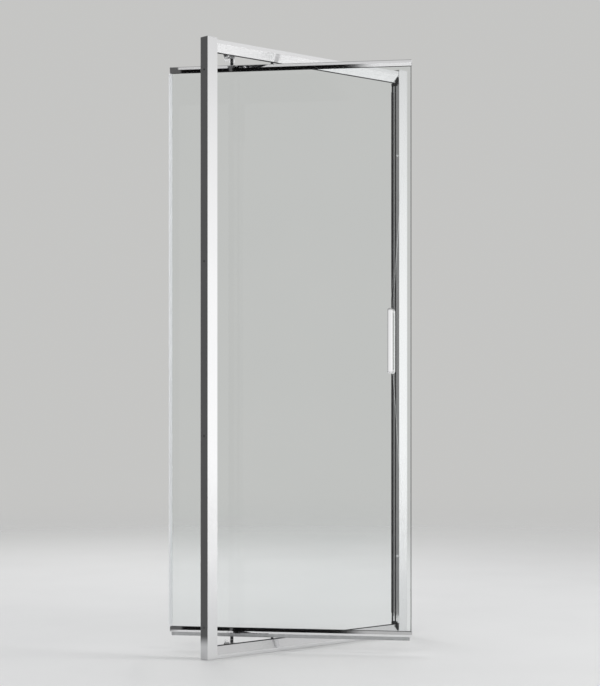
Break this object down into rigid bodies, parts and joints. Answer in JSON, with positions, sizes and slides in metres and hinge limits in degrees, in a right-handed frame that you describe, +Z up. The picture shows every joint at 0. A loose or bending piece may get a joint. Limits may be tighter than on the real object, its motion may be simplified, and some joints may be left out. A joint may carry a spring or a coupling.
{
  "type": "pivot shower door",
  "caption": "Framed pivot shower door: a glass leaf on crank arms and sliding shoes that swings out as it slides along top and bottom tracks between two wall jambs",
  "frame": {"origin": "under the middle of the bottom rail, on the face that sits on the shower tray", "axes": "+X runs along the doorway from the hinge jamb to the strike jamb, -Y is outside the shower, +Y is inside it, +Z is up"},
  "size_m": [0.88, 0.6268, 1.95],
  "materials": {
    "frame_aluminium": "bright anodised",
    "channel_aluminium": "mill finish",
    "chrome": "polished",
    "steel": "turned",
    "black_steel": "blackened",
    "nylon": "natural nylon",
    "black_nylon": "moulded",
    "black_seal": "soft vinyl",
    "clear_seal": "clear vinyl",
    "clear_glass": "toughened, clear"
  },
  "bodies": {
    "frame": {"jamb_hinge": "frame_aluminium", "jamb_strike": "frame_aluminium", "wall_channel_hinge": "channel_aluminium", "wall_channel_strike": "channel_aluminium", "jamb_caps": "chrome", "clamp_blocks": "nylon", "clamp_screws": "steel", "top_rail": "frame_aluminium", "bottom_rail": "frame_aluminium", "rail_screws": "steel", "upper_pivot_block": "steel", "lower_pivot_block": "steel", "upper_pivot_pin": "steel", "lower_pivot_pin": "steel", "track_stops": "black_nylon", "set_screws": "black_steel", "rail_edge_seals": "black_seal", "groove_strips": "black_seal", "strike_seal": "black_seal", "end_pads": "black_seal"},
    "lower_arm": {"lower_arm": "chrome", "lower_arm_bushes": "nylon"},
    "upper_arm": {"upper_arm": "chrome", "upper_arm_bushes": "nylon"},
    "leaf": {"glass": "clear_glass", "leaf_top_rail": "chrome", "leaf_bottom_rail": "chrome", "leaf_top_caps": "chrome", "leaf_bottom_caps": "chrome", "top_gasket": "black_seal", "bottom_gasket": "black_seal", "hinge_side_seal": "clear_seal", "free_edge_seal": "black_seal", "sweep_seal": "clear_seal", "upper_leaf_pin": "steel", "lower_leaf_pin": "steel", "upper_shoe_pin": "steel", "lower_shoe_pin": "steel", "pin_clips": "steel", "pin_spacers": "black_nylon", "outer_handle": "chrome", "inner_handle": "chrome", "handle_studs": "steel", "handle_sleeves": "nylon", "handle_washers": "nylon"},
    "upper_shoe": {"upper_shoe": "nylon"},
    "lower_shoe": {"lower_shoe": "nylon"}
  },
  "joints": [
    {"name": "door_swing", "type": "hinge", "parent": "frame", "child": "lower_arm", "pos_m": [-0.3225, 0.006, 0.027], "axis": [0, 0, 1], "range_deg": [-51, 29]},
    {"name": "leaf_turn", "type": "hinge", "parent": "lower_arm", "child": "leaf", "pos_m": [-0.2388, 0.10936, 0.027], "axis": [0, 0, 1], "range_deg": [-58.01, 102.01]},
    {"name": "upper_arm_swing", "type": "hinge", "parent": "frame", "child": "upper_arm", "pos_m": [-0.3225, 0.006, 1.917], "axis": [0, 0, 1], "range_deg": [-51.01, 29.01]},
    {"name": "lower_shoe_turn", "type": "hinge", "parent": "leaf", "child": "lower_shoe", "pos_m": [-0.1551, 0.006, 0.0095], "axis": [0, 0, 1], "range_deg": [-51.01, 29.01]},
    {"name": "upper_shoe_turn", "type": "hinge", "parent": "leaf", "child": "upper_shoe", "pos_m": [-0.1551, 0.006, 1.9345], "axis": [0, 0, 1], "range_deg": [-51.01, 29.01]}
  ],
  "couplings": [
    {"joint": "leaf_turn", "follows": "door_swing", "ratio": -2},
    {"joint": "upper_arm_swing", "follows": "door_swing", "ratio": 1},
    {"joint": "lower_shoe_turn", "follows": "door_swing", "ratio": 1},
    {"joint": "upper_shoe_turn", "follows": "door_swing", "ratio": 1}
  ]
}
